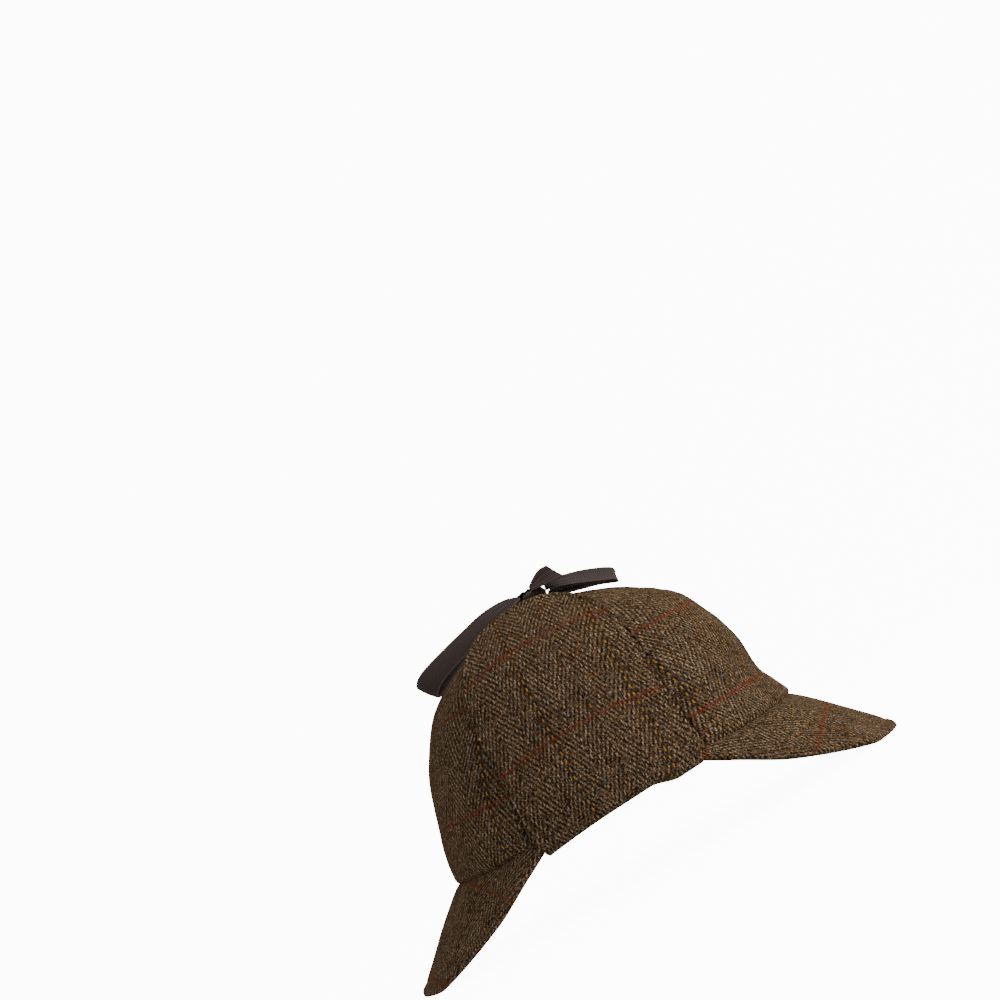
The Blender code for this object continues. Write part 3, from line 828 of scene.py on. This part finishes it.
def peak(name, facing):
    """A peak's upper crescent with its rolled edge, and the under one inside it."""
    across, along, middle, up = peak_grid(facing, 1, 46)
    from_edge = edge_distance(middle, ("top",))
    band = STITCH_RIDGE * np.exp(-(((from_edge - 0.0013) / 0.0015) ** 2))
    band -= STITCH_FURROW * np.exp(-(((from_edge - 0.0040) / 0.0008) ** 2))
    soft = PEAK_WAVES * ripple(middle, 0.030, 5 + facing) * ease(from_edge / 0.01)
    ends = edge_distance(middle, ("left", "right"))
    fullest = 1 - 0.30 * ease((np.abs(across) - 0.30) / 0.5)
    thick = (PIECE_GAP / 2 + PEAK_CLOTH * fullest) * pillow(ends, 0.003, 0.5)
    showing = along > 0.02
    outer = middle + up * (thick + (band + soft) * showing)[..., None]
    inner = middle + up * (PIECE_GAP / 2)
    edge, edge_up = middle[-1], up[-1]
    edge_out = unit(middle[-1] - middle[-3])
    roll_outer, roll_inner = [], []
    radius = thick[-1] + band[-1]
    for turn in np.radians(np.linspace(12, 168, 14)):
        way = edge_up * math.cos(turn) + edge_out * math.sin(turn)
        bulge = 1 + ROLL_BULGE * math.sin(turn)
        roll_outer.append(edge + way * (radius * bulge)[:, None])
        roll_inner.append(edge + way * PIECE_GAP / 2 - edge_out * 0.0002)
    faces = np.concatenate((outer, roll_outer)), np.concatenate((inner, roll_inner))
    peak_piece(name, "upper", facing, faces)

    _, _, middle, up = peak_grid(facing, UNDER_SHARE, 30)
    tight = pillow(edge_distance(middle, ("top", "left", "right")), 0.0015, 0.3)
    outer = middle - up * (PIECE_GAP / 2 + PEAK_CLOTH * tight)[..., None]
    inner = middle - up * (PIECE_GAP / 2)
    peak_piece(name, "under", facing, (outer, inner))


peak("peak_front", 1)
peak("peak_rear", -1)

# %% [markdown]
# ## The earflaps
#
# An earflap is a tongue of doubled tweed. It comes from under the rim, folds up around it and lies
# on the crown's side, where the ribbon holds its round end. It stands off a little, more at the
# rear edge than at the front one, and its edges are soft where the cloth is turned in. Its fold
# isn't level: it rises from the rear corner to past the middle and sinks again before the front.

# %% Earflaps
FLAP_WIDTH = 0.096
FLAP_ROUND = 0.080
ROUND_REAR, ROUND_FRONT, ROUND_TIP = 3.0, 2.1, 1 / 2.2
FLAP_CLOTH = 0.0030
STAND_LEAST, STAND_REAR, STAND_FRONT, STAND_TIP = 0.0009, 0.0045, 0.0020, 0.0044
SAG_REAR, SAG_SLOPE, SAG_FRONT = 0.0026, 0.0022, 0.0040
FLAP_WAVES, HEM_RIDGE, HEM_FURROW = 0.0004, 0.0006, 0.00035
FOLD_RADIUS, FOLD_STEPS = 0.0009, 16
FOLD_CUT = -np.linspace(0.011, 0.0006, FOLD_STEPS)
FLAP_TIP_SPACE = 0.0205
angles = np.radians(np.linspace(0, 90, 181))
ways = np.stack((0 * angles, -np.cos(angles), np.sin(angles)), -1)
line = crown_hit(np.zeros((181, 3)), ways)
MIDDLE_LENGTHS = steps_along(line[:, None], 0)[:, 0]
FLAP_LENGTH = MIDDLE_LENGTHS[-1] - FLAP_TIP_SPACE


def flap_lift(across, distance):
    """How far a flap's inner face stands off the crown."""
    up = distance / FLAP_LENGTH
    loose = 0.3 + 0.7 * ease(up * 5)
    rear = STAND_REAR * np.maximum(-across, 0.0) ** 2 * loose * (1 - 0.5 * up)
    front = STAND_FRONT * np.maximum(across, 0.0) ** 2 * loose
    return STAND_LEAST + rear + front + STAND_TIP * up**3


def flap_inner(side, across, distance):
    """A flap's inner face at a distance along its middle line above the fold."""
    corner = 1 - 0.03 * (1 - np.minimum(distance / (FLAP_LENGTH * 0.04), 1.0)) ** 2
    x = across * FLAP_WIDTH / 2 * corner
    angle = np.interp(distance, MIDDLE_LENGTHS, angles)
    way = np.stack((0 * angle, side * np.cos(angle), np.sin(angle)), -1)
    point = crown_hit(np.stack((x, 0 * x, 0 * x), -1), way)
    point = point + way * flap_lift(across, distance)[..., None]
    sag = SAG_REAR * np.minimum(across, 0.0) ** 2 - SAG_SLOPE * (1 + across)
    sag = sag + SAG_FRONT * ease((across - 0.36) / 0.34)
    point[..., 2] -= sag * (1 - ease(distance / FLAP_LENGTH * 6))
    return point


def earflap(name, side):
    """The flap, from its end under the rim to its round tip."""
    shares = np.sin(np.linspace(-1, 1, 84) * math.pi / 2) * 0.9997
    shares = shares if side < 0 else shares[::-1]
    turns = np.radians(np.linspace(-150, -8, FOLD_STEPS))
    ups = np.linspace(0, 1, 100)
    across = np.repeat(shares[None, :], len(ups), 0)
    rounding = 1 - np.abs(shares) ** np.where(shares < 0, ROUND_REAR, ROUND_FRONT)
    top = FLAP_LENGTH - FLAP_ROUND * (1 - rounding**ROUND_TIP)
    distance = ups[:, None] * top[None, :]
    inner = flap_inner(side, across, distance)
    foot = inner[0]
    fold = [
        foot + np.array((0.0, side * FOLD_RADIUS * (math.cos(t) - 1), FOLD_RADIUS * math.sin(t)))
        for t in turns
    ]
    inner = np.concatenate((fold, inner))
    outward = normals_of(inner)
    outward *= np.sign((outward[..., 1] * side).mean())
    rim = edge_distance(inner)
    waves = FLAP_WAVES * ripple(inner, 0.040, 20 + side) * ease(rim / 0.010)
    full = pillow(rim, 0.0016, 0.16)
    hem = HEM_RIDGE * np.exp(-(((rim - 0.0025) / 0.002) ** 2))
    hem -= HEM_FURROW * np.exp(-(((rim - 0.0062) / 0.0012) ** 2))
    middle = inner + outward * FLAP_CLOTH / 2
    outer = middle + outward * (FLAP_CLOTH / 2 * full + (waves + hem) * full)[..., None]
    inner = middle - outward * (FLAP_CLOTH / 2 * full)[..., None]
    along = np.concatenate((np.repeat(FOLD_CUT[:, None], len(shares), 1), distance))
    wide = np.concatenate((np.repeat(across[:1], FOLD_STEPS, 0), across)) * FLAP_WIDTH / 2
    cut = np.stack((wide, along), -1) - CHECK_LINES[name]
    piece = shell(name, outer, inner, cut, flap_tweed, name)


earflap("earflap_right", -1)
earflap("earflap_left", 1)

# %% [markdown]
# ## Ribbons
#
# A ribbon is a strip that keeps its width and bends along its length. Its course is a table of
# stations from the knot out and back, close to the plain model's, each with the direction from
# edge to edge. Near the knot the ribbon is gathered into pleats that fade out along the loop, so
# the strip is pushed up and down in waves across its width there.
#
# A station's distance along is a share of the loop's length. Its distance to the side counts in
# ribbon widths and its lift over the crown in knot heights. Lean, drop and width say how the strip
# is turned there and how much of its width it shows.

# %% Ribbon tools
KNOT_FORWARD, KNOT_LENGTH, KNOT_WIDTH, KNOT_HEIGHT = 0.010, 0.014, 0.016, 0.008
RIBBON_CLOTH = 0.0006
GATHERS, GATHER_FADE = 3.5, 0.009
WAVER = 0.012


def ribbon(name, middles, edges, pleats=(0.0, 0.0), curl=0.0):
    """A ribbon through stations; pleats are the depths of its gathers at its two ends."""
    stations = np.concatenate((middles, edges), -1)
    count = len(stations) - 1
    at = np.linspace(0, count, 12 * count + 1)
    course = smooth_curve(range(count + 1), stations)(at)
    shares = packed(25) - 0.5
    middle = course[:, None, :3] + shares[None, :, None] * course[:, None, 3:]
    up = normals_of(middle)
    run = steps_along(course[:, :3][:, None], 0)[:, 0]
    near_start, near_end = np.exp(-run / GATHER_FADE), np.exp(-(run[-1] - run) / GATHER_FADE)
    depth = pleats[0] * near_start + pleats[1] * near_end
    waver = 0.9 * np.sin(run[:, None] / WAVER)
    wave = np.cos(2 * math.pi * GATHERS * shares[None, :] + waver)
    middle = middle + up * (depth[:, None] * wave)[..., None]
    cup = curl * (4 * shares**2 - 1 / 3)
    middle = middle + up * (cup[None, :, None] * (1 - np.exp(-run / WAVER))[:, None, None])
    up = normals_of(middle)
    thin = pillow(edge_distance(middle), 0.0005, 0.35)[..., None] * RIBBON_CLOTH / 2
    flat = np.broadcast_to(shares[None, :] * RIBBON_WIDTH, (len(run), len(shares)))
    weave = np.stack((flat, np.broadcast_to(run[:, None], flat.shape)), -1)
    piece = shell(
        name, middle + up * thin, middle - up * thin, weave, bow_ribbon, name
    )
    return piece, middle, weave


Station = collections.namedtuple("Station", "along side lift lean drop width")
REAR_LOOP = (
    Station(0.00, -0.06, 0.90, 0.00, 0.12, 0.60),
    Station(0.12, -0.22, 1.02, 0.05, 0.42, 0.85),
    Station(0.30, -0.36, 0.98, 0.12, 0.58, 1.00),
    Station(0.50, -0.43, 0.98, 0.20, 0.60, 1.00),
    Station(0.70, -0.46, 1.12, 0.32, 0.60, 1.00),
    Station(0.88, -0.48, 1.36, 0.44, 0.60, 1.00),
    Station(0.97, -0.49, 1.42, 0.50, 0.60, 1.00),
    Station(1.00, -0.49, 1.20, 0.50, 0.58, 1.00),
    Station(0.96, -0.48, 0.88, 0.46, 0.56, 1.00),
    Station(0.86, -0.46, 0.62, 0.38, 0.52, 1.00),
    Station(0.72, -0.42, 0.50, 0.26, 0.46, 1.00),
    Station(0.50, -0.36, 0.44, 0.14, 0.38, 1.00),
    Station(0.22, -0.22, 0.42, 0.05, 0.22, 0.85),
    Station(0.00, -0.06, 0.34, 0.00, 0.06, 0.60),
)
FRONT_LOOP = (
    Station(0.00, -0.04, 1.00, 0.00, 0.26, 0.80),
    Station(0.25, -0.18, 1.03, 0.00, 0.36, 0.95),
    Station(0.55, -0.28, 1.05, -0.04, 0.41, 1.00),
    Station(0.82, -0.32, 1.08, -0.06, 0.42, 1.00),
    Station(0.97, -0.33, 1.07, -0.06, 0.40, 1.00),
    Station(1.00, -0.32, 0.94, -0.05, 0.37, 1.00),
    Station(0.96, -0.30, 0.80, -0.04, 0.32, 1.00),
    Station(0.72, -0.26, 0.69, 0.00, 0.32, 1.00),
    Station(0.40, -0.22, 0.58, 0.00, 0.42, 0.95),
    Station(0.15, -0.12, 0.50, 0.00, 0.40, 0.85),
    Station(0.00, -0.04, 0.42, 0.00, 0.22, 0.70),
)
FRONT_TAIL = (
    Station(0.00, -0.06, 1.20, 0.10, 0.20, 0.80),
    Station(0.35, -0.16, 1.45, 0.22, 0.42, 0.95),
    Station(0.70, -0.24, 1.70, 0.30, 0.54, 1.00),
    Station(1.00, -0.28, 1.82, 0.33, 0.56, 1.00),
)


def bow_part(name, table, start, length, pleats, curl):
    """A loop or tail of the bow, running forwards from the knot, or back if length is under 0."""
    rows = np.array(table)
    x, y = start + rows[:, 0] * length, rows[:, 1] * RIBBON_WIDTH
    middles = np.stack((x, y, crown_top(x, y) + rows[:, 2] * KNOT_HEIGHT), -1)
    level = np.sqrt(1 - rows[:, 3] ** 2 - rows[:, 4] ** 2)
    edges = np.stack((rows[:, 3], -level, -rows[:, 4]), -1) * (RIBBON_WIDTH * rows[:, 5:])
    piece, middle, cut = ribbon(name, middles, edges, pleats, curl)


# %% [markdown]
# ## The bow
#
# The two ties meet on top of the crown in a bow: a long loop towards the rear, a short one towards
# the front that leans to the camera, a short tail that stands up in front and a longer one over the
# far flap.

# %% Bow
knot_rear = KNOT_FORWARD - KNOT_LENGTH / 2 - PIECE_GAP
knot_front = KNOT_FORWARD + KNOT_LENGTH / 2 + PIECE_GAP
REAR_LENGTH, FRONT_LENGTH, TAIL_LENGTH = -0.069, 0.037, 0.017
OVER_FLAP = 0.0004
bow_part("bow_loop_rear", REAR_LOOP, knot_rear, REAR_LENGTH, (0.0007, 0.0004), 0.0006)
bow_part("bow_loop_front", FRONT_LOOP, knot_front, FRONT_LENGTH, (0.0006, 0.0003), 0.0004)
bow_part("bow_tail_front", FRONT_TAIL, KNOT_FORWARD, TAIL_LENGTH, (0.0006, 0.0), 0.0009)


def over_flap(side, across, distance):
    """The middle of a ribbon that lies on a flap's outer face."""
    angle = np.interp(distance, MIDDLE_LENGTHS, angles)
    outward = np.stack((0 * angle, side * np.cos(angle), np.sin(angle)), -1)
    height = FLAP_CLOTH + 2 * PIECE_GAP + RIBBON_CLOTH / 2 + OVER_FLAP
    return flap_inner(side, across, distance) + outward * height


knot_top = CROWN_HEIGHT + PIECE_GAP + KNOT_HEIGHT + 2 * PIECE_GAP + RIBBON_CLOTH / 2
shares = np.array((0.1, 0.4, 0.7, 1.0))
off_knot = np.array(
    (
        (KNOT_FORWARD - 0.10 * KNOT_LENGTH, 0.10 * KNOT_WIDTH, knot_top),
        (KNOT_FORWARD - 0.15 * KNOT_LENGTH, 0.55 * KNOT_WIDTH, knot_top),
    )
)
on_flap = over_flap(1, 0.10 - 0.25 * shares, FLAP_LENGTH - 0.030 * shares)
wide = np.array((0.6, 0.8, 1.0, 1.0, 1.0, 1.0))[:, None] * RIBBON_WIDTH
far_edges = np.array((1.0, 0.0, 0.0)) * wide
far_middles = np.concatenate((off_knot, on_flap))
piece, middle, cut = ribbon("bow_tail_far", far_middles, far_edges, (0.0005, 0.0))


def tie(name, side):
    """The ribbon sewn under a flap's tip, on its way to the knot."""
    reach = np.array(FLAP_LENGTH - 0.009)
    tip = flap_inner(side, np.array(0.0), reach)
    resting = 0.5 * float(flap_lift(np.array(0.0), reach))
    knot_middle = PIECE_GAP + 0.5 * KNOT_HEIGHT
    rows = np.array(
        (
            (0.0, resting, 1.00),
            (0.3, resting * 1.15, 1.00),
            (0.7, knot_middle * 0.85, 0.80),
            (1.0, knot_middle, 0.55),
        )
    )
    x = tip[0] + (KNOT_FORWARD - tip[0]) * rows[:, 0]
    y = tip[1] + (side * (KNOT_WIDTH / 2 + PIECE_GAP) - tip[1]) * rows[:, 0]
    middles = np.stack((x, y, crown_top(x, y) + rows[:, 1]), -1)
    edges = np.array((1.0, 0.0, 0.0)) * (RIBBON_WIDTH * rows[:, 2:])
    piece, middle, cut = ribbon(name, middles, edges, (0.0, 0.0005))


tie("tie_right", -1)
tie("tie_left", 1)

# %% [markdown]
# ## The knot
#
# The knot is the same ribbon wound once around the two strands. Its section is a rounded square
# that narrows to both ends, and a wave along it gives the folds, which run around the knot.

# %% Knot
KNOT_FOLDS, FOLD_DEPTH = 2.6, 0.055
PINCH_DEPTH, PINCH_WIDTH = 0.04, 0.25
KNOT_WRAP = 0.006
turns, across = np.meshgrid(
    np.linspace(0, 2 * math.pi, 97)[:-1], np.sin(np.linspace(-1, 1, 57) * 1.52), indexing="ij"
)
flatten = (np.abs(np.cos(turns)) ** 3 + np.abs(np.sin(turns)) ** 3) ** (-1 / 3)
round_off = np.sqrt(1 - np.abs(across) ** 3)
twist = 0.8 * np.sin(turns * 2 + 1)
folds = 1 + FOLD_DEPTH * np.cos(2 * math.pi * KNOT_FOLDS * across + twist)
folds = folds - PINCH_DEPTH * ease(PINCH_WIDTH - np.abs(across + 0.35 * np.sin(turns)))
band = flatten * round_off * folds
knot_points = np.stack(
    (
        KNOT_FORWARD + across * KNOT_LENGTH / 2,
        KNOT_WIDTH / 2 * band * np.cos(turns),
        CROWN_HEIGHT + PIECE_GAP + KNOT_HEIGHT / 2 + KNOT_HEIGHT / 2 * band * np.sin(turns),
    ),
    -1,
)
rows, columns = turns.shape
index = np.arange(rows * columns).reshape(rows, columns)
ahead = np.roll(index, -1, 0)
faces = np.stack((index[:, :-1], index[:, 1:], ahead[:, 1:], ahead[:, :-1]), -1).reshape(-1, 4)
faces = faces.tolist() + [index[:, 0].tolist(), index[::-1, -1].tolist()]
knot_weave = np.stack((across * KNOT_LENGTH / 2, turns * KNOT_WRAP, 0 * turns), -1)
knot = make_piece(
    "bow_knot",
    knot_points.reshape(-1, 3),
    faces,
    knot_weave.reshape(-1, 3),
    bow_ribbon,
    "bow_knot",
)
print("knot:", len(faces), "faces")
